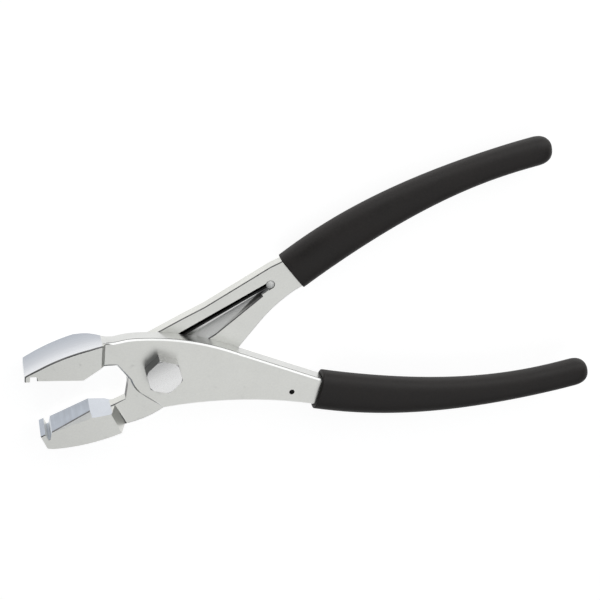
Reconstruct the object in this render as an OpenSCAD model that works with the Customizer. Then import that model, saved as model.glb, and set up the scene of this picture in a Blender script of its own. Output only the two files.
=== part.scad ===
// Running pliers: two flat steel levers that cross in a lap joint on a hex bolt.
// The front lever carries the upper jaw and the lower handle, the rear lever the lower
// jaw and the upper handle. A black leaf spring in a pocket of the rear lever pushes
// the handles apart. The tool lies flat: the pivot axis is Z, the jaws point to -X and
// the origin is on the pivot axis, on the plane that the tool rests on.

/* [Levers] */
// Thickness of the front lever
front_t = 6; // [4:0.5:9]
// Thickness of the rear lever
rear_t = 4.4; // [3.6:0.2:8]
// Radius of the round lap joint that both levers share
boss_r = 13; // [12.5:0.5:14]
// Height of the front lever's neck behind the upper jaw
neck_h = 9.9; // [7:0.1:12]
// Angle that the rear lever turns from open to closed
close_angle = 28; // [20:1:30]
// Gap between the two levers in the lap joint
lap_gap = 0.05; // [0.02:0.01:0.1]
// Diameter of the hanging hole in the front lever
hang_hole_d = 2.2; // [1.2:0.1:4]

/* [Jaws] */
// Reach of the jaws from the pivot to the lips
jaw_reach = 53; // [48:1:64]
// Width of the upper jaw, across the levers
upper_jaw_w = 16; // [13:0.5:22]
// Width of the lower jaw, across the levers
lower_jaw_w = 13; // [12:0.5:20]
// Drop of the upper gripping face below the pivot axis
upper_face_drop = 2.6; // [2:0.1:4]
// Space between the gripping faces when the jaws are closed
face_gap = 1.2; // [0.8:0.1:3]
// Space between the lips when the jaws are closed
lip_gap = 0.2; // [0.1:0.05:0.5]
// Thickness of the lips at the tips of the jaws
lip_t = 2; // [1:0.1:2.5]
// Width of the groove behind each lip
groove_w = 2.6; // [2.2:0.1:4]
// Depth of the groove behind the upper lip
groove_d = 1.7; // [1:0.1:2.2]
// Depth of the groove behind the lower lip
lower_groove_d = 2.4; // [1:0.1:3]
// Run of the slanted wall of the lower groove
groove_slant = 1.8; // [0.5:0.1:2]

/* [Pivot bolt] */
// Diameter of the bolt's shank
bolt_d = 8; // [6:0.5:8.5]
// Size of the hex head and the nut across their flats
hex_af = 13; // [11:0.5:15]
// Height of the hex head
head_h = 5.3; // [3:0.1:8]
// Diameter of the flat round face left inside the chamfer of the head and the nut
hex_face_d = 13.8; // [10:0.1:14.4]
// Height of the thin nut
nut_h = 4; // [3:0.5:6]
// Outer diameter of the washer under the nut
washer_d = 16; // [15:0.5:20]
// Thickness of the washer
washer_t = 1.6; // [1:0.1:2.5]
// Running clearance of the rear lever on the bolt, on the radius
bolt_clear = 0.05; // [0.02:0.01:0.1]

/* [Return spring] */
// Thickness of the leaf
leaf_t = 0.8; // [0.5:0.1:0.9]
// Depth of the pocket that the leaf lies in
pocket_d = 2.6; // [2:0.1:3]
// Space over and under the leaf in its pocket
leaf_side_gap = 0.2; // [0.1:0.05:0.4]
// Distance of the leaf's eye from the pivot, along the leaf
eye_s = 53; // [48:1:56]
// Distance of the straight part of the leaf's middle from the bolt's shank
leaf_out = 2; // [1.6:0.1:2.4]
// Slope of the leaf to the X axis
leaf_slope = 33.8; // [32:0.1:35]
// Diameter of the pin through the eye
eye_pin_d = 1.6; // [1:0.1:2]
// Diameter of the abutment stud on the front lever
stud_d = 2; // [1.4:0.1:2.4]
// Distance of the abutment stud's middle from the bolt's shank
stud_out = 6.2; // [5.8:0.1:6.4]

/* [Grips] */
// Length of the upper grip along its curve
upper_grip_len = 113.8; // [90:0.2:145]
// Length of the lower grip along its curve
lower_grip_len = 118.2; // [90:0.2:150]
// Radius of the curve that each handle follows
grip_curve_r = 250; // [200:10:400]
// Height of the grips at the mouth
grip_h = 16.7; // [15.5:0.1:20]
// Height of the grips near the tip
grip_tip_h = 11.4; // [9:0.1:15]
// Depth of the grips, across the levers
grip_w = 10.4; // [9:0.2:16]
// Clearance of a grip on its tang
grip_clear = 0.1; // [0.05:0.05:0.2]

/* [Hidden] */
$fn = 64;

// Heights of the stack, from the plane that the tool rests on
rear_z0 = nut_h + washer_t + lap_gap;
rear_z1 = rear_z0 + rear_t;
lap_z = rear_z1 + lap_gap;
front_z1 = lap_z + front_t;
head_z1 = front_z1 + head_h;
pocket_z = rear_z1 - pocket_d;

// Lips and faces, as heights over the pivot axis with the jaws closed
upper_face_y = -upper_face_drop;
lower_face_y = upper_face_y - face_gap;
lip_rise = (face_gap - lip_gap) / 2;
upper_lip_y = upper_face_y - lip_rise;
lower_lip_y = lower_face_y + lip_rise;

// Jaw roots: where the blocks end behind, how far they step in to the levers' thickness
// and where their flat gripping faces turn into the ramps of the throat
upper_step_x = -24.2;
upper_ramp_x = -30.8;
upper_root_x = -19.5;
lower_step_x = -25.7;
lower_ramp_x = -32.8;
lower_root_x = -20;
lower_overreach = 1;

// Grip curves: where each starts and the direction it starts in
rear_grip_at = [49, 39.4];
rear_grip_dir = 41.65;
front_grip_at = [63.9, -10.5];
front_grip_dir = -9.6;
// The grips thin from grip_full to grip_thin_end before their tips, then end round
grip_full = 8;
grip_thin_end = 17;
grip_round = 7;
tang_end_gap = 9;
// Wall of each grip over and under its tang at the mouth, and from it the tang's height
// over and under the grip's curve
rear_grip_wall = [1.55, 1.15];
front_grip_wall = [2.55, 2.25];
rear_tang = [grip_h / 2 - rear_grip_wall[0], grip_h / 2 - rear_grip_wall[1]];
front_tang = [grip_h / 2 - front_grip_wall[0], grip_h / 2 - front_grip_wall[1]];

// Underside and top of the neck behind the upper jaw, the height at which the back of the
// jaw meets it, and the place of the hanging hole
neck_y = 2.5;
neck_top = neck_y + neck_h;
jaw_back_y = neck_top - 0.3;
hang_hole = [52.8, -10.2];

// Return spring: place of the abutment stud, shape of the leaf's free end and its width
leaf_h = bolt_d / 2 + leaf_out;
stud_orbit = bolt_d / 2 + stud_out;
stud_s = -4.5;
stud_h = sqrt(stud_orbit * stud_orbit - stud_s * stud_s);
stud_seat = 3;
leaf_end_s = -9;
leaf_end_h = stud_h - stud_d / 2 - leaf_t / 2 - 0.05;
leaf_bend_s = 13;
leaf_open_gap = 1.4;
eye_open_gap = 1;
// The slope that leads down to the leaf from the pocket's lower edge: stations along the
// leaf, and the heights of its edge on the lever's face and of its foot at each of them
slope_s = [6, 15, eye_s - 5];
slope_edge_h = [for (drop = [7.2, 7.2, 2.7]) leaf_h - drop];
slope_foot_h = [for (drop = [2.6, 2.6, 1.6]) leaf_h - drop];
slope_lift = 0.05;
bolt_wall = 0.3;
// Turn of the hex head and the nut about the pivot axis
hex_turn = -12;
leaf_z0 = pocket_z + leaf_side_gap;
leaf_z1 = rear_z1 - leaf_side_gap;
eye_r = eye_pin_d / 2 + bolt_clear + leaf_t;

// Points of an arc about c, from angle a0 to a1, in n steps
function arc(c, r, a0, a1, n = 12) =
    [for (i = [0:n]) let (a = a0 + (a1 - a0) * i / n) c + r * [cos(a), sin(a)]];

// Points of an arc of radius r from p to q. It bulges to the left of the way from p to q,
// or to the right where r is negative
function bulge(p, q, r, n = 8) =
    let (side = sign(r), d = q - p, l = norm(d), m = [-d[1], d[0]] / l,
         c = (p + q) / 2 - side * m * sqrt(r * r - l * l / 4),
         a0 = atan2(p[1] - c[1], p[0] - c[0]))
    arc(c, abs(r), a0, a0 - side * 2 * asin(l / 2 / abs(r)), n);

function turned(p, a) = [p[0] * cos(a) - p[1] * sin(a), p[0] * sin(a) + p[1] * cos(a)];

// A point of a grip's curve: s along it and h to the left, with side = -1 where it bends
// to the right and +1 where it bends to the left
function grip_pt(at, dir, side, s, h) =
    let (a = s / grip_curve_r * 180 / PI,
         along = grip_curve_r * sin(a), off = side * grip_curve_r * (1 - cos(a)))
    at + turned([along, off], dir) + h * turned([0, 1], dir + side * a);

// Leaf coordinates: s along the leaf towards the eye, h away from the pivot
function leaf_xy(s, h) = turned([s, h], leaf_slope);
function stud_xy() = leaf_xy(stud_s, stud_h);
function eye_xy() = leaf_xy(eye_s, leaf_h);

function reversed(list) = [for (i = [len(list) - 1:-1:0]) list[i]];

// ---- levers ------------------------------------------------------------------------

module prism(points, z0, z1) {
    translate([0, 0, z0]) linear_extrude(z1 - z0) polygon(points);
}

// A cutter behind a jaw block, on its front or its back. It slopes from (x0, z_jaw) on the
// block's own face to (x1, z_lever) on the lever's, and passes right through in Y
module step_cut(x0, x1, z_jaw, z_lever) {
    out = z_jaw + sign(z_jaw - z_lever);
    behind = -10;
    translate([0, 60, 0]) rotate([90, 0, 0]) linear_extrude(120)
        polygon([[x0, out], [x0, z_jaw], [x1, z_lever], [behind, z_lever], [behind, out]]);
}

// How much lower half a grip is at s than at its mouth
function grip_thinning(grip_len, s) =
    let (run = grip_len - grip_thin_end - grip_full,
         share = min(1, max(0, (s - grip_full) / run)))
    (grip_h - grip_tip_h) / 2 * (1 - cos(180 * share)) / 2;

// The tang that a grip slides over: its outline from s0, thinning as the grip does
function tang_pts(at, dir, side, grip_len, s0, high, low, grow = 0) =
    let (s1 = grip_len - tang_end_gap + grow, steps = 12,
         stations = [for (i = [0:steps]) s0 + (s1 - s0) * i / steps])
    concat(
        [for (s = stations) grip_pt(at, dir, side, s, high - grip_thinning(grip_len, s) + grow)],
        [for (s = reversed(stations))
            grip_pt(at, dir, side, s, grip_thinning(grip_len, s) - low - grow)]);

// Front lever's plate, clockwise from the upper jaw's root over the top to the tang and back
function front_plate_pts() =
    let (crown = [-6, 14.2], crown_r = 97, under_top = [33, -13.8], under_r = 178,
         inside = upper_step_x - 5)
    concat(
        [[inside, neck_top - 6], [upper_step_x - 1, jaw_back_y - 1.6],
         [upper_step_x, jaw_back_y], [upper_step_x + 1.7, neck_top], [-20, neck_top],
         [-14.6, 13.7]],
        arc(crown - [0, crown_r], crown_r, 93, 71, 12),
        tang_pts(front_grip_at, front_grip_dir, 1, lower_grip_len, 0,
                 front_tang[0], front_tang[1]),
        arc(under_top - [0, under_r], under_r, 80.6, 100.2, 10),
        arc([0, 0], boss_r, 232, 198, 6),
        [[-18, neck_y], [inside, neck_y]]);

// Side view of the upper jaw: curved back, root, ramp, gripping face, groove and lip
function upper_jaw_pts() =
    let (tip = -jaw_reach, inner = tip + lip_t, groove_in = inner + groove_w,
         groove_y = upper_face_y + groove_d)
    concat(
        bulge([tip, groove_y + 0.1], [upper_step_x, jaw_back_y], 75, 14),
        [[upper_root_x, jaw_back_y], [upper_root_x, neck_y], [upper_step_x, neck_y],
         [upper_ramp_x, upper_face_y], [groove_in, upper_face_y], [groove_in, groove_y],
         [inner, groove_y], [inner, upper_lip_y], [tip, upper_lip_y]]);

module front_lever() {
    jaw_z0 = lap_z - upper_jaw_w / 2;
    jaw_z1 = lap_z + upper_jaw_w / 2;
    color("silver") difference() {
        union() {
            prism(front_plate_pts(), lap_z, front_z1);
            difference() {
                prism(upper_jaw_pts(), jaw_z0, jaw_z1);
                step_cut(upper_step_x, upper_step_x + 1.3, jaw_z1, front_z1);
                step_cut(upper_step_x - 9.8, upper_step_x + 2.2, jaw_z0, lap_z);
            }
        }
        translate([0, 0, lap_z - 1]) cylinder(d = bolt_d, h = front_t + 2);
        translate([hang_hole[0], hang_hole[1], lap_z - 1])
            cylinder(d = hang_hole_d, h = front_t + 2);
        translate([stud_xy()[0], stud_xy()[1], lap_z - 1])
            cylinder(d = stud_d, h = 1 + stud_seat);
    }
}

// Rear lever's plate, anticlockwise from where its top edge leaves the boss
function rear_plate_pts() =
    concat(
        arc([0, 0], boss_r, 119.7, 180, 8),
        [[-12.8, -7], [-12.4, -9.5], [-12.9, -15.6], [-16.3, -17.4], [-24, -21.5],
         [-22, -27]],
        bulge([-12.4, -27.1], [1.2, -20.8], -40, 6),
        [[8, -15.5], [21, -7.5]],
        bulge([38.2, 18.4], [51, 32.2], 60, 5),
        reversed(tang_pts(rear_grip_at, rear_grip_dir, -1, upper_grip_len, 0,
                          rear_tang[0], rear_tang[1])),
        [[40, 42], [15.5, 24.7], [7.2, 19.8]]);

// Side view of the lower jaw, with the jaws closed
function lower_jaw_pts() =
    let (tip = -jaw_reach - lower_overreach, inner = tip + lip_t,
         groove_in = inner + groove_w, groove_y = lower_face_y - lower_groove_d)
    concat(
        [[tip, lower_lip_y], [inner, lower_lip_y], [inner, groove_y],
         [groove_in - groove_slant, groove_y], [groove_in, lower_face_y],
         [lower_ramp_x, lower_face_y], [lower_step_x + 0.4, -7.8], [lower_root_x, -8.4],
         [lower_root_x, -18.2]],
        bulge([-26.4, -17.2], [-52, -10.8], 75, 8),
        [[tip, -9.4]]);

// The pocket of the leaf spring: an outline that opens towards the pivot, the sweep of the
// abutment stud and a round end for the eye
module spring_pocket() {
    over = leaf_h + leaf_t / 2;
    over_end = leaf_end_h + leaf_t / 2 + eye_open_gap;
    bolt_h = bolt_d / 2 + bolt_wall;
    eye_low_h = leaf_h - eye_r - leaf_side_gap;
    outline = [[eye_s, over + eye_open_gap], [leaf_bend_s, over + leaf_open_gap],
               [2, over_end], [leaf_end_s - 0.4, over_end],
               [leaf_end_s - 1.6, leaf_end_h - 4], [leaf_end_s, bolt_h - 0.8],
               [0, bolt_h], [3, bolt_h - 0.4], [9, leaf_h - 3.4], [15, leaf_h - 2.9], [22, leaf_h - 2.5],
               [eye_s, eye_low_h]];
    stud_a = atan2(stud_xy()[1], stud_xy()[0]);
    reach = stud_d / 2 + 0.3;
    translate([0, 0, pocket_z]) linear_extrude(pocket_d + 1) {
        rotate(leaf_slope) polygon(outline);
        polygon(concat(
            arc([0, 0], stud_orbit + reach, stud_a - 8, stud_a + close_angle + 8, 10),
            arc([0, 0], stud_orbit - reach - 2, stud_a + close_angle + 8, stud_a - 8, 10)));
        translate(leaf_xy(eye_s, leaf_h)) circle(eye_r + leaf_side_gap);
    }
    // The slope is cut by a hull from a strip along its foot to one over its edge
    rise = pocket_d - slope_lift;
    over_h = [for (i = [0:2]) slope_edge_h[i] - (slope_foot_h[i] - slope_edge_h[i]) / rise];
    rotate(leaf_slope) hull() {
        slope_strip(slope_foot_h, 0.1, pocket_z + slope_lift);
        slope_strip(over_h, 3, rear_z1 + 1);
    }
}

// A thin level strip through the three stations of the slope, at the heights hs and above
module slope_strip(hs, width, z) {
    translate([0, 0, z]) linear_extrude(0.01) polygon(concat(
        [for (i = [0:2]) [slope_s[i], hs[i]]],
        [for (i = [2:-1:0]) [slope_s[i], max(hs[i], slope_foot_h[i]) + width]]));
}

module rear_lever() {
    jaw_z0 = lap_z - lower_jaw_w / 2;
    jaw_z1 = lap_z + lower_jaw_w / 2;
    color("gainsboro") difference() {
        union() {
            prism(rear_plate_pts(), rear_z0, rear_z1);
            rotate(close_angle) difference() {
                prism(lower_jaw_pts(), jaw_z0, jaw_z1);
                step_cut(lower_step_x, lower_step_x + 2.1, jaw_z1, rear_z1);
                step_cut(lower_step_x - 1.3, lower_step_x + 2.1, jaw_z0, rear_z0);
            }
        }
        translate([0, 0, rear_z0 - 1]) cylinder(r = bolt_d / 2 + bolt_clear, h = rear_t + 2);
        translate([eye_xy()[0], eye_xy()[1], rear_z0 - 1]) cylinder(d = eye_pin_d, h = rear_t + 2);
        spring_pocket();
    }
}

// ---- pivot -------------------------------------------------------------------------

// A hexagon with the corners of its outer end chamfered at 30 degrees, upwards or downwards
module hexagon(z0, h, up) {
    corner_r = hex_af / 2 / cos(30);
    drop = (corner_r + 0.5 - hex_face_d / 2) * tan(30);
    translate([0, 0, z0]) intersection() {
        rotate(hex_turn) cylinder(r = corner_r, h = h, $fn = 6);
        translate([0, 0, up ? 0 : h]) mirror([0, 0, up ? 0 : 1]) {
            cylinder(r = corner_r + 0.5, h = h - drop);
            translate([0, 0, h - drop])
                cylinder(r1 = corner_r + 0.5, r2 = hex_face_d / 2, h = drop);
        }
    }
}

// Hex head on the front lever and a shank down to the back of the nut
module pivot_bolt() {
    color("lightgray") {
        cylinder(d = bolt_d, h = front_z1);
        hexagon(front_z1, head_h, true);
    }
}

module pivot_washer() {
    color("darkgray") translate([0, 0, nut_h]) difference() {
        cylinder(d = washer_d, h = washer_t);
        translate([0, 0, -1]) cylinder(r = bolt_d / 2 + 0.2, h = washer_t + 2);
    }
}

module pivot_nut() {
    color("darkgray") difference() {
        hexagon(0, nut_h, false);
        translate([0, 0, -1]) cylinder(d = bolt_d, h = nut_h + 2);
    }
}

// ---- return spring -----------------------------------------------------------------

// Height of the leaf's middle over s: straight from the eye, then set up over the bolt
function leaf_mid(s) = leaf_h + (leaf_end_h - leaf_h)
    * (1 - cos(180 * min(1, max(0, (leaf_bend_s - s) / leaf_bend_s)))) / 2;

module return_spring() {
    stations = concat([leaf_end_s], [for (s = [0:leaf_bend_s / 8:leaf_bend_s]) s], [eye_s]);
    strip = concat(
        [for (s = stations) leaf_xy(s, leaf_mid(s) - leaf_t / 2)],
        [for (s = reversed(stations)) leaf_xy(s, leaf_mid(s) + leaf_t / 2)]);
    color("dimgray") difference() {
        union() {
            prism(strip, leaf_z0, leaf_z1);
            translate([eye_xy()[0], eye_xy()[1], leaf_z0]) cylinder(r = eye_r, h = leaf_z1 - leaf_z0);
        }
        translate([eye_xy()[0], eye_xy()[1], leaf_z0 - 1])
            cylinder(r = eye_pin_d / 2 + bolt_clear, h = leaf_z1 - leaf_z0 + 2);
    }
}

// Pin through the leaf's eye, riveted over the front with a low round head
module spring_pin() {
    head_d = 2 * eye_r;
    head_rise = 0.7;
    dome_r = (head_d * head_d / 4 + head_rise * head_rise) / (2 * head_rise);
    color("white") translate([eye_xy()[0], eye_xy()[1], 0]) {
        translate([0, 0, rear_z0]) cylinder(d = eye_pin_d, h = leaf_z1 + 0.1 - rear_z0);
        translate([0, 0, leaf_z1 + 0.05]) intersection() {
            cylinder(d = head_d, h = head_rise);
            translate([0, 0, head_rise - dome_r]) sphere(dome_r);
        }
    }
}

// Stud in the front lever's back that the free end of the leaf pushes on
module spring_stud() {
    color("gray") translate([stud_xy()[0], stud_xy()[1], pocket_z + 0.3])
        cylinder(d = stud_d, h = lap_z + stud_seat - pocket_z - 0.3);
}

// ---- grips -------------------------------------------------------------------------

// Half the size of a grip at s before its tip is reached, and the share left at its round end
function grip_half(grip_len, s) = grip_h / 2 - grip_thinning(grip_len, s);
function grip_end(grip_len, s) =
    let (e = max(0, s - grip_len + grip_round) / grip_round)
    sqrt(max(0.02, 1 - e * e));

// Outline of a grip across its curve: an oval with full sides, of half sizes a and b
function grip_section(a, b, n = 2.5, sides = 24) =
    [for (i = [0:sides - 1]) let (t = 360 * (i + 0.5) / sides)
        [a * sign(cos(t)) * pow(abs(cos(t)), 2 / n),
         b * sign(sin(t)) * pow(abs(sin(t)), 2 / n)]];

// A grip is swept along its curve, with a cavity that its tang fills
module grip(at, dir, side, grip_len, mid_z, tang, z0, z1) {
    sides = 24;
    stations = concat([0, grip_full], [for (i = [1:10]) grip_full
                      + (grip_len - grip_round - grip_full) * i / 10],
                      [for (a = [25:13:90]) grip_len - grip_round * (1 - sin(a))]);
    rings = [for (s = stations) let (end = grip_end(grip_len, s))
        for (q = grip_section(grip_half(grip_len, s) * end, grip_w / 2 * end, sides = sides))
            let (p = grip_pt(at, dir, side, s, q[0])) [p[0], p[1], mid_z + q[1]]];
    last = len(stations) - 1;
    walls = [for (i = [0:last - 1], j = [0:sides - 1])
        let (a = i * sides + j, b = i * sides + (j + 1) % sides)
        each [[a, a + sides, b], [b, a + sides, b + sides]]];
    caps = [[for (j = [0:sides - 1]) j], [for (j = [sides - 1:-1:0]) last * sides + j]];
    difference() {
        polyhedron(rings, concat(walls, caps), convexity = 4);
        prism(tang_pts(at, dir, side, grip_len, -3, tang[0], tang[1], grip_clear),
              z0 - grip_clear, z1 + grip_clear);
    }
}

module upper_grip() {
    color([0.1, 0.1, 0.1]) grip(rear_grip_at, rear_grip_dir, -1, upper_grip_len,
        (rear_z0 + rear_z1) / 2, rear_tang, rear_z0, rear_z1);
}

module lower_grip() {
    color([0.1, 0.1, 0.1]) grip(front_grip_at, front_grip_dir, 1, lower_grip_len,
        (lap_z + front_z1) / 2, front_tang, lap_z, front_z1);
}

front_lever();
rear_lever();
pivot_bolt();
pivot_washer();
pivot_nut();
return_spring();
spring_pin();
spring_stud();
upper_grip();
lower_grip();
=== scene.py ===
import math

import bmesh
import bpy
from mathutils import Matrix, Vector


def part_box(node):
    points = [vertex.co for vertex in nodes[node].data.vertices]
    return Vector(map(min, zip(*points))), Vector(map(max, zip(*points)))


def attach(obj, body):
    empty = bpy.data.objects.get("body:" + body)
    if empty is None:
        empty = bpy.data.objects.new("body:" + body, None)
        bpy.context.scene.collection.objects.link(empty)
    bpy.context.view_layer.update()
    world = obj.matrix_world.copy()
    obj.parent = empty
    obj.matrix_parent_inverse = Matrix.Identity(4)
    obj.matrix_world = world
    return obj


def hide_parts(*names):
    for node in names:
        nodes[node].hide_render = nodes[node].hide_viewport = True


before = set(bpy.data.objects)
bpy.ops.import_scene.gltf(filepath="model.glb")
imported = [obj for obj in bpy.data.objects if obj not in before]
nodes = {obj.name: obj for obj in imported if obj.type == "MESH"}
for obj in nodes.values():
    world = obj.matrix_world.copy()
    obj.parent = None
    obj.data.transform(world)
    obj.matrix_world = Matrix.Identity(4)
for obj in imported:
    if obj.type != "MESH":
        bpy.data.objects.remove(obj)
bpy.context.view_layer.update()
MM = 0.001

# ---- camera -----------------------------------------------------------------------
# It looks down on the flat tool from beyond its upper left, so edges that face +Y show.

CAMERA_AT = Vector((-0.0844, 0.2681, 0.5038))
LOOK = Vector((0.2433, -0.4243, -0.8722)).normalized()
CAMERA_UP = Vector((0, 0.8993, -0.4374))
FIELD = math.radians(23.576)


def make_camera():
    data = bpy.data.cameras.new("camera")
    data.sensor_fit = "HORIZONTAL"
    data.angle = FIELD
    data.clip_start = 10 * MM
    cam = bpy.data.objects.new("camera", data)
    right = LOOK.cross(CAMERA_UP).normalized()
    up = right.cross(LOOK)
    turn = Matrix((right, up, -LOOK)).transposed()
    cam.matrix_world = Matrix.Translation(CAMERA_AT) @ turn.to_4x4()
    bpy.context.collection.objects.link(cam)
    bpy.context.scene.camera = cam


make_camera()


# ---- node maths -------------------------------------------------------------------

class Sock:
    """An output socket that adds Math nodes when Python's operators are used on it."""

    def __init__(self, tree, socket):
        self.tree = tree
        self.socket = socket

    def math(self, operation, *others):
        return self.tree.node("ShaderNodeMath", {"operation": operation}, [self, *others])

    def __add__(self, other):
        return self.math("ADD", other)

    def __sub__(self, other):
        return self.math("SUBTRACT", other)

    def __mul__(self, other):
        return self.math("MULTIPLY", other)

    def __truediv__(self, other):
        return self.math("DIVIDE", other)

    def __pow__(self, other):
        return self.math("POWER", other)

    def __rsub__(self, other):
        return self.tree.node("ShaderNodeMath", {"operation": "SUBTRACT"}, [other, self])

    __radd__ = __add__
    __rmul__ = __mul__

    def at_least(self, low):
        return self.math("MAXIMUM", low)

    def at_most(self, high):
        return self.math("MINIMUM", high)

    def clamped(self):
        return self.at_least(0).at_most(1)

    def between(self, low, high):
        """0 under low, 1 over high, and straight between them."""
        return ((self - low) / (high - low)).clamped()

    def sin(self):
        return self.math("SINE")

    def cos(self):
        return self.math("COSINE")


class Tree:
    """A node tree, with one method that adds any node."""

    def __init__(self, node_tree):
        self.tree = node_tree

    def node(self, kind, settings=None, inputs=(), output=0):
        made = self.tree.nodes.new(kind)
        for name, value in (settings or {}).items():
            if name == "ramp":
                self.set_ramp(made.color_ramp, value)
            else:
                setattr(made, name, value)
        pairs = inputs.items() if isinstance(inputs, dict) else enumerate(inputs)
        for key, value in pairs:
            if isinstance(value, Sock):
                self.tree.links.new(value.socket, made.inputs[key])
            elif value is not None:
                made.inputs[key].default_value = value
        return Sock(self, made.outputs[output]) if made.outputs else made

    def part(self, vector, axis):
        """One coordinate of a vector: axis 0, 1 or 2 for X, Y or Z."""
        return self.node("ShaderNodeSeparateXYZ", {}, [vector], axis)

    @staticmethod
    def set_ramp(ramp, stops):
        while len(ramp.elements) < len(stops):
            ramp.elements.new(1.0)
        for element, (place, shade) in zip(ramp.elements, stops):
            element.position = place
            element.color = shade


class Finish(Tree):
    """A material whose surface is one Principled shader."""

    def __init__(self, name, **fixed):
        self.material = bpy.data.materials.new(name)
        self.material.use_nodes = True
        super().__init__(self.material.node_tree)
        self.tree.nodes.clear()
        self.shader = self.tree.nodes.new("ShaderNodeBsdfPrincipled")
        out = self.tree.nodes.new("ShaderNodeOutputMaterial")
        self.tree.links.new(self.shader.outputs[0], out.inputs["Surface"])
        for key, value in fixed.items():
            self.shader.inputs[key.replace("_", " ")].default_value = value

    def drive(self, key, sock):
        self.tree.links.new(sock.socket, self.shader.inputs[key])

    def place(self, scale=(1, 1, 1)):
        """Object coordinates, stretched."""
        raw = self.node("ShaderNodeTexCoord", output="Object")
        return self.node("ShaderNodeMapping", {}, {"Vector": raw, "Scale": scale})

    def noise(self, where, scale, detail=3, roughness=0.5):
        return self.node("ShaderNodeTexNoise", {}, {
            "Vector": where, "Scale": scale, "Detail": detail, "Roughness": roughness})

    def shade(self, value, stops):
        """A value turned into a colour by a ramp of (place, colour) stops."""
        return self.node("ShaderNodeValToRGB", {"ramp": [(p, (*c, 1)) for p, c in stops]}, [value])

    def bump(self, height, strength, distance):
        self.drive("Normal", self.node("ShaderNodeBump", {}, {
            "Strength": strength, "Distance": distance, "Height": height}))


# ---- finishes ---------------------------------------------------------------------

GRAIN_DEPTH = 0.03 * MM
MARK_DEPTH = 0.04 * MM
VINYL_DEPTH = 0.08 * MM


def satin_steel(name, tone, rough, cloudy=0.05, metal=1.0):
    """Bright plating over ground steel: fine even grain, soft clouds and a few dull specks."""
    finish = Finish(name, Metallic=metal)
    grain = finish.noise(finish.place(), 1400, 3, 0.6)
    cloud = finish.noise(finish.place((1, 1, 2)), 70, 2)
    specks = finish.noise(finish.place(), 600, 1).between(0.66, 0.8)
    mix = grain * 0.45 + cloud * 0.55
    dark = tuple(c * (1 - cloudy) for c in tone)
    light = tuple(min(1, c * (1 + cloudy)) for c in tone)
    finish.drive("Base Color", finish.shade(mix, [(0.35, dark), (0.65, light)]))
    finish.drive("Roughness", rough + (mix - 0.5) * 0.14 + specks * 0.1)
    finish.bump(grain, 0.1, GRAIN_DEPTH)
    return finish.material


def head_steel_painted_light(name, tone):
    """Plated fastener steel with painted light: lighter towards one side of the pivot, darker at
    the other.
    """
    finish = Finish(name, Metallic=1.0)
    shaded_side, lit_side = -6 * MM, 3.5 * MM
    place = finish.place()
    grain = finish.noise(place, 1200, 3, 0.6)
    east, north = finish.part(place, 0), finish.part(place, 1)
    # Painted light: the tone ramps from the shaded side of the pivot to the lit side.
    painted_lean = (east * 0.5 - north * 0.85).between(shaded_side, lit_side)
    mix = painted_lean * 0.9 + grain * 0.1
    finish.drive("Base Color", finish.shade(mix, [
        (0.1, tuple(c * 0.7 for c in tone)), (0.5, tone), (0.9, tuple(c * 1.12 for c in tone))]))
    finish.drive("Roughness", 0.26 + (grain - 0.5) * 0.1)
    finish.bump(grain, 0.08, GRAIN_DEPTH)
    return finish.material


def jaw_back_painted_reflection(far, near):
    """The jaw's polished back with a painted reflection: blue-grey on the far side, paler towards
    the front edge.
    """
    finish = Finish("jaw_back_painted_reflection", Metallic=1.0)
    height = finish.part(finish.place(), 2)
    grain = finish.noise(finish.place((60, 60, 900)), 1.0, 3)
    across = height.between(far, near) + (grain - 0.5) * 0.12
    # Painted reflection: the tone pales from the far side to the front edge.
    finish.drive("Base Color", finish.shade(across, [
        (0.0, (0.42, 0.45, 0.5)), (0.55, (0.56, 0.58, 0.62)), (1.0, (0.82, 0.83, 0.85))]))
    finish.drive("Roughness", 0.24 + (grain - 0.5) * 0.1)
    finish.bump(grain, 0.08, GRAIN_DEPTH)
    return finish.material


def ground_steel_and_reflection():
    """Bare ground steel of the gripping faces, with marks across the jaw and a dark blue-grey tone
    that is a painted reflection.
    """
    finish = Finish("ground_steel_and_reflection", Metallic=1.0)
    marks = finish.noise(finish.place((900, 900, 60)), 1.0, 3)
    cloud = finish.noise(finish.place(), 140, 2)
    # Painted reflection: the dark blue-grey base tone; the marks are the steel's own.
    finish.drive("Base Color", finish.shade(marks * 0.5 + cloud * 0.5, [
        (0.35, (0.4, 0.43, 0.48)), (0.65, (0.5, 0.54, 0.6))]))
    finish.drive("Roughness", 0.32 + (marks - 0.5) * 0.16)
    finish.bump(marks, 0.15, MARK_DEPTH)
    return finish.material


def dark_steel(name, low, high, metal, rough):
    """Near-black steel, a little greyer in random patches: the spring's black oxide, the hang
    hole's dark wall, and painted shade on edge lines and in the pocket.
    """
    finish = Finish(name, Metallic=metal)
    rub = finish.noise(finish.place((250, 250, 900)), 1.0, 3)
    finish.drive("Base Color", finish.shade(rub, [(0.4, (low,) * 3), (0.75, (high,) * 3)]))
    finish.drive("Roughness", rough + (rub - 0.5) * 0.2)
    finish.bump(rub, 0.1, GRAIN_DEPTH)
    return finish.material


def grip_vinyl():
    """Dipped vinyl: near black, matte, with a fine even grain and faint smooth patches."""
    finish = Finish("grip_vinyl", IOR=1.45)
    grain = finish.noise(finish.place(), 1300, 2, 0.6)
    patch = finish.noise(finish.place(), 110, 3)
    finish.drive("Base Color", finish.shade(grain * 0.5 + patch * 0.5, [
        (0.3, (0.0062, 0.0048, 0.004)), (0.7, (0.019, 0.0155, 0.014))]))
    finish.drive("Roughness", 0.56 + (patch - 0.5) * 0.2 + (grain - 0.5) * 0.12)
    finish.bump(grain, 0.4, VINYL_DEPTH)
    return finish.material


# ---- sizes ------------------------------------------------------------------------
# The frame's boxes give the planes and ends; the rest is the design's own.

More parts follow.
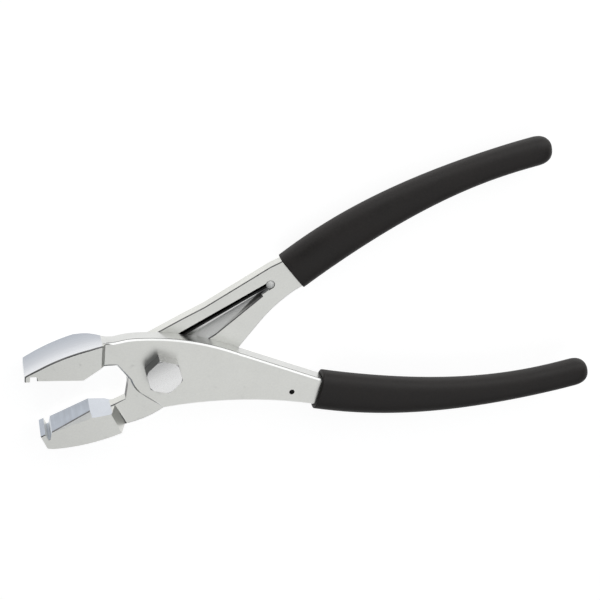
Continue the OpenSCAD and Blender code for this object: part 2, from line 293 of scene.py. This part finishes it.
HEAD_H = 5.3 * MM
REAR_T = 4.4 * MM
CLOSE_ANGLE = math.radians(28)
FRONT_FACE_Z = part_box("pivot_bolt")[1][2] - HEAD_H
REAR_FACE_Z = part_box("upper_grip")[0][2] / 2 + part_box("upper_grip")[1][2] / 2 + REAR_T / 2
UPPER_JAW_Z = (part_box("front_lever")[0][2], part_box("front_lever")[1][2])
LOWER_JAW_Z = (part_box("rear_lever")[0][2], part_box("rear_lever")[1][2])
JAW_TIP_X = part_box("front_lever")[0][0]
BELOW_FACE = 1 * MM

# The front lever: where its jaw and plate meet, where the grip hides it, and its holes.
JAW_STEP_X = -24.2 * MM
RIM_START_X, PLATE_START_X, PLATE_END_X = -22.4 * MM, -22.5 * MM, 75 * MM
HANG_HOLE = Vector((52.8, -10.2)) * MM
HANG_WALL, HANG_RIM, BORE_RIM = 1.5 * MM, 2 * MM, 6 * MM

# The lower jaw, as it lies when the jaws are closed.
LOWER_JAW_ROOT_X = -25.5 * MM
JAW_RAMP_X = -32.8 * MM
LOWER_FACE_END_X = -49.4 * MM
LOWER_FACE_Y = -3.8 * MM

# The rear lever's plate: its round eye, the grip's start, and the wall below the pivot, which is
# painted in shade.
EYE_RIM, REAR_PLATE_END_X = 12.5 * MM, 62 * MM
WALL_X, WALL_TOP_Y = (-13.3 * MM, -12 * MM), -4 * MM

# The spring's pocket, along the leaf and over it.
LEAF_SLOPE = math.radians(33.8)
LEAF_OUT = 6 * MM
POCKET_X, POCKET_Y, POCKET_RIM_Y = (-12 * MM, 56 * MM), (-2 * MM, 10 * MM), (-2 * MM, 9.5 * MM)
SLOPE_X, SLOPE_Y = (14 * MM, 50 * MM), (-2 * MM, 4.5 * MM)

# Widths of the broken edges, and how far under the jaw's front edge the plain ones start.
CHAMFER, CHAMFER_LINE = 0.7 * MM, 0.14 * MM
UPPER_JAW_EDGE, LOWER_JAW_EDGE = 0.42 * MM, 0.3 * MM
REAR_EDGE, PLAIN_EDGE = 0.35 * MM, 0.25 * MM
UNDER_JAW_EDGE = 0.4 * MM

# How near counts as touching.
JOIN_SLACK, CUT_SLACK, SEAM_SLACK = 0.002 * MM, 0.001 * MM, 0.001 * MM
LEVEL_SLACK, FOOT_SLACK, CORNER_SLACK = 0.01 * MM, 0.03 * MM, 1 * MM

# Shares of a normal: of a level face, of one that looks along an axis, and of an upright one.
FLAT, FACING, UPRIGHT = 0.99, 0.9, 0.1

# Faces this near flat are joined, an outline this tight is a spur, and this sharp stays sharp.
FLAT_ANGLE, SPUR_ANGLE, SHARP_ANGLE = math.radians(0.4), math.radians(3), math.radians(32)

lever_steel = satin_steel("lever_steel", (0.75, 0.753, 0.72), 0.36)
bright_steel = satin_steel("bright_steel", (0.72, 0.725, 0.71), 0.3)
fastener_steel = head_steel_painted_light("fastener_steel", (0.7, 0.7, 0.695))
milled_steel = satin_steel("milled_steel", (0.8, 0.805, 0.785), 0.5, 0.06, 0.2)
pale_steel = satin_steel("pale_steel", (0.68, 0.71, 0.76), 0.3)
back_painted_reflection = jaw_back_painted_reflection(*UPPER_JAW_Z)
jaw_steel_and_reflection = ground_steel_and_reflection()
# Painted shade: the dark lines along edges, seams and walls that sit in shade.
shade_line_steel = dark_steel("shade_line_steel", 0.14, 0.26, 1.0, 0.45)
# Near black: the hang hole's wall, and painted shade on the pocket floor beyond the leaf.
bore_shade_steel = dark_steel("bore_shade_steel", 0.004, 0.01, 0.3, 0.6)
spring_steel = dark_steel("spring_steel", 0.008, 0.03, 0.8, 0.4)
vinyl = grip_vinyl()
STEELS = [lever_steel, back_painted_reflection, jaw_steel_and_reflection, shade_line_steel, bore_shade_steel, bright_steel, pale_steel,
          milled_steel]
LEVER, BACK, JAW, SHADE_LINE, BORE_SHADE, BRIGHT, PALE, MILLED = range(len(STEELS))


# ---- mesh helpers -----------------------------------------------------------------

def new_object(name, bm, *materials):
    mesh = bpy.data.meshes.new(name)
    bm.to_mesh(mesh)
    bm.free()
    for material in materials:
        mesh.materials.append(material)
    obj = bpy.data.objects.new(name, mesh)
    bpy.context.collection.objects.link(obj)
    return obj


def merged_copy(node):
    """A node's triangles as one joined bmesh, with its flat faces made whole."""
    bm = bmesh.new()
    bm.from_mesh(nodes[node].data)
    bmesh.ops.remove_doubles(bm, verts=bm.verts, dist=JOIN_SLACK)
    bmesh.ops.dissolve_limit(bm, angle_limit=FLAT_ANGLE, verts=bm.verts, edges=bm.edges)
    bmesh.ops.dissolve_verts(bm, verts=[v for v in bm.verts if doubles_back(v)])
    bm.normal_update()
    return bm


def doubles_back(vert):
    """Whether a face's outline runs out to this point and straight back again."""
    if len(vert.link_edges) != 2:
        return False
    ways = [edge.other_vert(vert).co - vert.co for edge in vert.link_edges]
    return ways[0].angle(ways[1]) < SPUR_ANGLE


def middle(edge):
    return (edge.verts[0].co + edge.verts[1].co) / 2


def level(edge, z, slack=LEVEL_SLACK):
    """Whether an edge lies in the plane z."""
    return all(abs(v.co.z - z) < slack for v in edge.verts)


def with_parts(faces):
    """Faces with their edges and points, as a cut wants them."""
    return list({g for f in faces for g in (f, *f.edges, *f.verts)})


def sharp_edges(bm, degrees, keep):
    """Edges where two faces meet at more than an angle, if their middle passes the test."""
    limit = math.radians(degrees)
    return [e for e in bm.edges
            if len(e.link_faces) == 2 and e.calc_face_angle() > limit and keep(middle(e))]


def rim_edges(bm, z, keep):
    """Edges of a plate's outline in the plane z, where a flat face meets an upright one."""
    found = []
    for edge in bm.edges:
        if len(edge.link_faces) != 2 or not level(edge, z):
            continue
        tilt = sorted(abs(f.normal.z) for f in edge.link_faces)
        if tilt[0] < 0.3 and tilt[1] > FLAT and keep(middle(edge)):
            found.append(edge)
    return found


def seam_edges(bm, z, materials, slack=LEVEL_SLACK):
    """Edges in the plane z where the faces that meet have just these materials."""
    return [e for e in bm.edges if len(e.link_faces) == 2
            and {f.material_index for f in e.link_faces} == materials and level(e, z, slack)]


def bevel(bm, edges, width, segments, material=-1, clamp=False):
    """Breaks edges; material -1 gives the new faces their neighbours' material."""
    bmesh.ops.bevel(bm, geom=edges, offset=width, segments=segments, profile=0.5,
                    affect="EDGES", clamp_overlap=clamp, material=material, loop_slide=False)
    bm.normal_update()


def apply_modifiers(obj):
    """Turns an object's modifiers into its plain mesh, and removes them."""
    graph = bpy.context.evaluated_depsgraph_get()
    mesh = bpy.data.meshes.new_from_object(obj.evaluated_get(graph), depsgraph=graph)
    obj.modifiers.clear()
    obj.data = mesh
    return obj


def shade(obj):
    """Smooth shading between sharp edges, with flat faces kept flat beside their bevels."""
    obj.data.polygons.foreach_set("use_smooth", [True] * len(obj.data.polygons))
    obj.data.set_sharp_from_angle(angle=SHARP_ANGLE)
    weighted = obj.modifiers.new("flat_faces", "WEIGHTED_NORMAL")
    weighted.keep_sharp = True
    weighted.weight = 100
    return apply_modifiers(obj)


def finished(obj, body, node):
    """Puts a piece under its body's empty, so it moves with that body, and hides the node it
    stands for.
    """
    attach(obj, body)
    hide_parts(node)


# ---- levers -----------------------------------------------------------------------

def closed_frame(point):
    """A point of the rear lever as it lies when the jaws are closed."""
    return Matrix.Rotation(-CLOSE_ANGLE, 3, "Z") @ point


def leaf_frame(point):
    """A point along and over the leaf spring's line."""
    return Matrix.Rotation(-LEAF_SLOPE, 3, "Z") @ point


def within(point, xs, ys):
    return xs[0] < point.x < xs[1] and ys[0] < point.y < ys[1]


def clear_of_holes(point):
    """Whether a point of the front lever is past the rims of its bore and hang hole."""
    return point.xy.length > BORE_RIM and (point.xy - HANG_HOLE).length > HANG_RIM


def cut_across(bm, faces, heights):
    """Cuts faces with level planes, so that they can be curved across the jaw."""
    for z in heights:
        cut = bmesh.ops.bisect_plane(bm, geom=with_parts(faces), dist=CUT_SLACK,
                                     plane_co=(0, 0, z), plane_no=(0, 0, 1))
        faces = [g for g in cut["geom"] if isinstance(g, bmesh.types.BMFace)]
    return faces


def crown_upper_jaw(bm):
    """Rounds the upper jaw's back: fullest near its root's far side, falling at the front edge."""
    far_z, near_z = UPPER_JAW_Z
    width = near_z - far_z
    cuts = [near_z - width * t for t in (0.05, 0.1, 0.17, 0.3, 0.45, 0.6, 0.8)]
    full_from, full_rise = 0.68, 0.5 * MM
    crown_rise = 0.25 * MM
    fall_width, fall_depth, fall_ends = 0.14, 0.45 * MM, 6
    root = 0.995
    back = [f for f in bm.faces if f.material_index == BACK and f.normal.y > 0.5
            and f.calc_center_median().x < JAW_STEP_X]
    back = cut_across(bm, back, cuts)
    for vert in {v for f in back for v in f.verts}:
        along = (vert.co.x - JAW_TIP_X) / (JAW_STEP_X - JAW_TIP_X)
        if not 0 < along < root:
            continue
        across = (near_z - vert.co.z) / width
        hump = math.sin(math.pi * max(0, (along - full_from) / (1 - full_from)))
        full = hump * across * full_rise
        crown = math.sin(math.pi * along) ** 0.5 * 4 * across * (1 - across) * crown_rise
        ends = min(1, fall_ends * along, fall_ends * (1 - along))
        fall = max(0, 1 - across / fall_width) ** 2 * ends * fall_depth
        vert.co.y += full + crown - fall
    bm.normal_update()


def make_front_lever():
    bm = merged_copy("front_lever")
    near_z = UPPER_JAW_Z[1]
    for face in bm.faces:
        at, out = face.calc_center_median(), face.normal
        if (at.xy - HANG_HOLE).length < HANG_WALL and abs(out.z) < UPRIGHT:
            face.material_index = BORE_SHADE
        elif at.x < JAW_STEP_X and out.y < -0.3:
            face.material_index = JAW
        elif at.x < JAW_STEP_X and (out.y > 0.3 or out.x < -0.5):
            face.material_index = BACK
        elif out.y > 0.5 and at.z < FRONT_FACE_Z - BELOW_FACE:
            face.material_index = BRIGHT
    crown_upper_jaw(bm)
    rim = rim_edges(bm, FRONT_FACE_Z,
                    lambda m: RIM_START_X < m.x < PLATE_END_X and clear_of_holes(m))
    bevel(bm, rim, CHAMFER, 1, BRIGHT)
    # A thin painted shade line along the chamfer's foot, and another along the upper jaw's front
    # edge.
    chamfer_foot = seam_edges(bm, FRONT_FACE_Z - CHAMFER, {BRIGHT}, FOOT_SLACK)
    bevel(bm, chamfer_foot, CHAMFER_LINE, 1, SHADE_LINE)
    bevel(bm, seam_edges(bm, near_z, {LEVER, BACK}), UPPER_JAW_EDGE, 2, SHADE_LINE)

    def plain(m):
        """Whether a point is on the jaw's far part, or on the plate's back past its holes."""
        if m.x < PLATE_START_X:
            return m.z < near_z - UNDER_JAW_EDGE
        return (PLATE_START_X < m.x < PLATE_END_X and m.z < FRONT_FACE_Z - BELOW_FACE
                and clear_of_holes(m))

    bevel(bm, sharp_edges(bm, 38, plain), PLAIN_EDGE, 2, clamp=True)
    obj = shade(new_object("front_lever_forging", bm, *STEELS))
    finished(obj, "front", "front_lever")


def ease_lower_jaw(bm):
    """Lays a narrow facet along the front of the lower gripping face, widening to its root, with a
    painted shade line beside it.
    """
    near_z = LOWER_JAW_Z[1]
    root_w, root_drop, line_w = 2.6 * MM, 1.6 * MM, 1.0 * MM
    length = JAW_RAMP_X - LOWER_FACE_END_X
    back = Matrix.Rotation(CLOSE_ANGLE, 3, "Z")
    across = Vector((root_w, 0, length)).normalized()
    for shift in (0, line_w):
        face = [f for f in bm.faces if f.material_index == JAW
                and closed_frame(f.calc_center_median()).x > LOWER_FACE_END_X
                and closed_frame(f.normal).y > FACING]
        foot = Vector((LOWER_FACE_END_X, 0, near_z - shift))
        bmesh.ops.bisect_plane(bm, geom=with_parts(face), dist=CUT_SLACK,
                               plane_co=back @ foot, plane_no=back @ across)
    bm.normal_update()
    for face in bm.faces:
        at = closed_frame(face.calc_center_median())
        share = (at.x - LOWER_FACE_END_X) / length
        on_face = closed_frame(face.normal).y > FACING and 0 < share < 1
        inset = near_z - at.z - root_w * share
        # The facet gets the pale milled steel; a strip along its inner edge gets a painted shade
        # line.
        if face.material_index == JAW and on_face and inset < line_w:
            face.material_index = MILLED if inset < 0 else SHADE_LINE
    corner = Vector((JAW_RAMP_X, LOWER_FACE_Y, near_z))
    for vert in bm.verts:
        at = closed_frame(vert.co)
        if near_z - at.z < LEVEL_SLACK and (at - corner).length < CORNER_SLACK:
            vert.co -= back @ Vector((0, root_drop, 0))
    bm.normal_update()


def paint_shade_behind_leaf(bm):
    """Splits the pocket's floor along the leaf, and gives the part beyond it the near-black colour
    as painted shade.
    """
    floor = [f for f in bm.faces if f.normal.z > FLAT and f.material_index == BRIGHT
             and f.calc_center_median().z < REAR_FACE_Z - BELOW_FACE]
    away = Matrix.Rotation(LEAF_SLOPE, 3, "Z") @ Vector((0, 1, 0))
    bmesh.ops.bisect_plane(bm, geom=with_parts(floor), dist=CUT_SLACK,
                           plane_co=away * LEAF_OUT, plane_no=away)
    for face in bm.faces:
        if (face.material_index == BRIGHT and face.normal.z > FLAT
                and leaf_frame(face.calc_center_median()).y > LEAF_OUT):
            face.material_index = BORE_SHADE


def make_rear_lever():
    bm = merged_copy("rear_lever")
    near_z = LOWER_JAW_Z[1]
    for face in bm.faces:
        here = face.calc_center_median()
        at, out = closed_frame(here), closed_frame(face.normal)
        in_pocket = within(leaf_frame(here), POCKET_X, POCKET_Y)
        if at.x < LOWER_JAW_ROOT_X and out.y > 0.25:
            face.material_index = JAW if at.x < JAW_RAMP_X and out.y > FACING else PALE
        # Painted shade: the upright wall below the pivot takes the dark edge colour.
        elif WALL_X[0] < here.x < WALL_X[1] and here.y < WALL_TOP_Y and abs(out.z) < UPRIGHT:
            face.material_index = SHADE_LINE
        elif in_pocket and out.z > FLAT:
            face.material_index = BRIGHT if at.z < REAR_FACE_Z - BELOW_FACE else LEVER
        elif in_pocket and out.z > 0.5:
            face.material_index = MILLED
        # Painted shade on the pocket walls that do not face up across the leaf; the others get the
        # bright steel.
        elif in_pocket and abs(out.z) < 0.2:
            face.material_index = BRIGHT if leaf_frame(face.normal).y > 0.2 else SHADE_LINE
    ease_lower_jaw(bm)
    paint_shade_behind_leaf(bm)
    outline = rim_edges(bm, REAR_FACE_Z,
                        lambda m: m.xy.length > EYE_RIM and m.x < REAR_PLATE_END_X
                        and not within(leaf_frame(m), POCKET_X, POCKET_RIM_Y))
    # Outline edges facing +Y, the pocket's sloped rim and the lower jaw's front edge get painted
    # shade lines.
    seen = [e for e in outline if max(f.normal.y for f in e.link_faces) > 0.2]
    hidden = [e for e in outline if e not in seen]
    bevel(bm, seen, REAR_EDGE, 2, SHADE_LINE)
    bevel(bm, [e for e in hidden if e.is_valid], REAR_EDGE, 2, BRIGHT)
    slope_edge = [e for e in bm.edges if len(e.link_faces) == 2 and level(e, REAR_FACE_Z)
                  and within(leaf_frame(middle(e)), SLOPE_X, SLOPE_Y)]
    bevel(bm, slope_edge, PLAIN_EDGE, 2, SHADE_LINE)
    bevel(bm, seam_edges(bm, near_z, {LEVER, JAW}), LOWER_JAW_EDGE, 2, SHADE_LINE)
    obj = shade(new_object("rear_lever_forging", bm, *STEELS))
    finished(obj, "rear", "rear_lever")


make_front_lever()
make_rear_lever()


# ---- pivot and spring -------------------------------------------------------------

def fine_copy(name, node, body, material, width=0.12):
    """A turned or pressed piece with its sharp edges broken by a width in millimetres."""
    bm = merged_copy(node)
    bevel(bm, sharp_edges(bm, 25, lambda m: True), width * MM, 2, clamp=True)
    finished(shade(new_object(name, bm, material)), body, node)


fine_copy("hex_bolt", "pivot_bolt", "front", fastener_steel, 0.2)
fine_copy("flat_washer", "pivot_washer", "front", fastener_steel)
fine_copy("hex_nut", "pivot_nut", "front", fastener_steel)
fine_copy("rivet_pin", "spring_pin", "rear", milled_steel, 0.05)
fine_copy("leaf_stud", "spring_stud", "front", fastener_steel)
fine_copy("leaf_spring", "return_spring", "leaf", spring_steel, 0.06)


# ---- grips ------------------------------------------------------------------------

GRIP_SIZES = {
    "Curve radius": 250 * MM, "Mouth half height": 8.35 * MM, "Tip half height": 5.7 * MM,
    "Mouth half depth": 5.2 * MM, "Tip half depth": 4.7 * MM, "Full length": 8 * MM,
    "Thin end": 17 * MM, "Tip round": 7 * MM, "Rim round": 0.5 * MM, "Tang end gap": 9 * MM,
}
GRIP_PLACES = {
    "upper_grip": ("rear", {
        "Start X": 49 * MM, "Start Y": 39.4 * MM, "Direction": math.radians(41.65), "Bend": -1.0,
        "Length": 113.8 * MM, "Tang middle": -0.2 * MM, "Tang half height": 7.1 * MM,
        "Tang half depth": 2.3 * MM}),
    "lower_grip": ("front", {
        "Start X": 63.9 * MM, "Start Y": -10.5 * MM, "Direction": math.radians(-9.6), "Bend": 1.0,
        "Length": 118.2 * MM, "Tang middle": -0.15 * MM, "Tang half height": 6.05 * MM,
        "Tang half depth": 3.1 * MM}),
}
# Points round a grip, points along each leg of its sheet, and the number of legs.
AROUND, ALONG_EACH, LEGS = 56, 26, 4
TIP_POWER = 0.8


def grip_tree():
    """A dipped grip as a closed skin swept along its curve.

    A sheet of points is wrapped in four legs: in the cavity from the tang's end to the
    mouth, round the rim, along the outside, and over the round tip.
    """
    group = bpy.data.node_groups.new("dipped_grip", "GeometryNodeTree")
    group.interface.new_socket("Mesh", in_out="OUTPUT", socket_type="NodeSocketGeometry")
    names = [*GRIP_SIZES, *GRIP_PLACES["upper_grip"][1], "Middle Z"]
    for name in names:
        group.interface.new_socket(name, in_out="INPUT", socket_type="NodeSocketFloat")
    tree = Tree(group)
    entry = group.nodes.new("NodeGroupInput")
    size = {name: Sock(tree, entry.outputs[name]) for name in names}

    sheet = tree.node("GeometryNodeMeshGrid", {}, {
        "Size X": 1.0, "Size Y": float(LEGS), "Vertices X": AROUND + 1,
        "Vertices Y": LEGS * ALONG_EACH + 1})
    spot = tree.node("GeometryNodeInputPosition")
    turn = (tree.part(spot, 0) + 0.5).math("FRACT") * math.tau
    step = tree.part(spot, 1) + LEGS / 2
    in_cavity, on_rim, outside, at_tip = [(step - leg).clamped() for leg in range(LEGS)]

    quarter = at_tip * (math.pi / 2)
    tip_out = quarter.sin() ** TIP_POWER
    tip_in = quarter.cos().at_least(0) ** TIP_POWER
    s = (size["Rim round"] * (1 - (on_rim * math.pi).sin())
         + (size["Length"] - size["Tang end gap"] - size["Rim round"]) * (1 - in_cavity)
         + (size["Length"] - size["Tip round"] - size["Rim round"]) * outside
         + size["Tip round"] * tip_out)
    thin_share = ((s - size["Full length"])
                  / (size["Length"] - size["Thin end"] - size["Full length"])).clamped()
    thin_share = (1 - (thin_share * math.pi).cos()) / 2
    thin = (size["Mouth half height"] - size["Tip half height"]) * thin_share
    skin = (1 - (on_rim * math.pi).cos()) / 2
    closing = (step * ALONG_EACH).clamped() * tip_in

    outer_h = size["Mouth half height"] - thin
    outer_v = size["Mouth half depth"] - (
        size["Mouth half depth"] - size["Tip half depth"]) * thin_share
    inner_h = size["Tang half height"] - thin
    half_h = (inner_h + (outer_h - inner_h) * skin) * closing
    half_v = (size["Tang half depth"] + (outer_v - size["Tang half depth"]) * skin) * closing
    fullness = 0.2 + 0.6 * skin  # the cavity is nearly square, the outside nearly oval
    h = (half_h * turn.cos().math("SIGN") * turn.cos().math("ABSOLUTE") ** fullness
         + size["Tang middle"] * (1 - skin))
    v = half_v * turn.sin().math("SIGN") * turn.sin().math("ABSOLUTE") ** fullness

    swing = s / size["Curve radius"]
    way = size["Direction"] + swing * size["Bend"]
    along = size["Curve radius"] * swing.sin()
    off = size["Bend"] * size["Curve radius"] * (1 - swing.cos())
    heading = size["Direction"]
    x = size["Start X"] + along * heading.cos() - off * heading.sin() - h * way.sin()
    y = size["Start Y"] + along * heading.sin() + off * heading.cos() + h * way.cos()
    place = tree.node("ShaderNodeCombineXYZ", {}, [x, y, size["Middle Z"] + v])

    skin_mesh = tree.node("GeometryNodeSetPosition", {}, {"Geometry": sheet, "Position": place})
    skin_mesh = tree.node("GeometryNodeMergeByDistance", {}, {
        "Geometry": skin_mesh, "Distance": SEAM_SLACK})
    skin_mesh = tree.node("GeometryNodeSetShadeSmooth", {}, {"Geometry": skin_mesh})
    skin_mesh = tree.node("GeometryNodeRealizeInstances", {}, {"Geometry": skin_mesh})
    skin_mesh = tree.node("GeometryNodeSetMaterial", {}, {
        "Geometry": skin_mesh, "Material": vinyl})
    tree.node("NodeGroupOutput", {}, [skin_mesh])
    return group


def make_grip(group, node, body, place):
    obj = bpy.data.objects.new(node + "_vinyl", bpy.data.meshes.new(node + "_vinyl"))
    bpy.context.collection.objects.link(obj)
    modifier = obj.modifiers.new("dipped_grip", "NODES")
    modifier.node_group = group
    low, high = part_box(node)
    values = {**GRIP_SIZES, **place, "Middle Z": (low[2] + high[2]) / 2}
    for item in group.interface.items_tree:
        if item.in_out == "INPUT":
            modifier[item.identifier] = values[item.name]
    finished(apply_modifiers(obj), body, node)


dipped_grip = grip_tree()
for grip_node, (grip_body, grip_place) in GRIP_PLACES.items():
    make_grip(dipped_grip, grip_node, grip_body, grip_place)


# ---- floor and light --------------------------------------------------------------

FLOOR_HALF, FLOOR_GLOW = 2.5, 0.88
SKY_GLOW = 0.16
LAMPS_AIM = (0.06, 0.03, 0.01)
# Each lamp's name, place, size and radiance.
LAMPS = [
    ("overhead", (0.36, -0.52, 1.1), (1.1, 0.9), 0.86),
    ("back_box", (0.15, 1.15, 0.72), (1.8, 1.1), 1.3),
    ("top_box", (0.5, 0.42, 1.06), (0.6, 0.55), 1.2),
    ("low_box", (-0.5, 1.0, 0.26), (0.8, 0.5), 0.8),
    ("right_box", (1.05, 0.72, 0.5), (0.9, 0.8), 1.1),
]


def make_floor():
    """A pale floor that glows a little, so that it stays even out to its edges."""
    bm = bmesh.new()
    bmesh.ops.create_grid(bm, x_segments=2, y_segments=2, size=FLOOR_HALF)
    pale = Finish("pale_floor", Roughness=0.9, Specular_IOR_Level=0.0)
    tone = pale.noise(pale.place(), 3, 2)
    pale.drive("Base Color", pale.shade(tone, [(0.3, (0.24,) * 3), (0.7, (0.26,) * 3)]))
    pale.shader.inputs["Emission Color"].default_value = (1, 1, 1, 1)
    pale.shader.inputs["Emission Strength"].default_value = FLOOR_GLOW
    new_object("floor", bm, pale.material)


def softbox(name, at, size, bright):
    """A rectangular lamp whose face shines with the radiance given."""
    data = bpy.data.lights.new(name, "AREA")
    data.shape = "RECTANGLE"
    data.size, data.size_y = size
    data.energy = bright * size[0] * size[1] * math.pi
    lamp = bpy.data.objects.new(name, data)
    lamp.location = at
    lamp.rotation_euler = (Vector(LAMPS_AIM) - Vector(at)).to_track_quat("-Z", "Y").to_euler()
    bpy.context.collection.objects.link(lamp)


def make_light():
    world = bpy.data.worlds.new("studio")
    world.use_nodes = True
    sky = world.node_tree.nodes["Background"]
    sky.inputs["Color"].default_value = (0.93, 0.96, 1.0, 1)
    sky.inputs["Strength"].default_value = SKY_GLOW
    bpy.context.scene.world = world
    for lamp in LAMPS:
        softbox(*lamp)


bpy.context.scene.view_settings.view_transform = "Standard"
make_floor()
make_light()
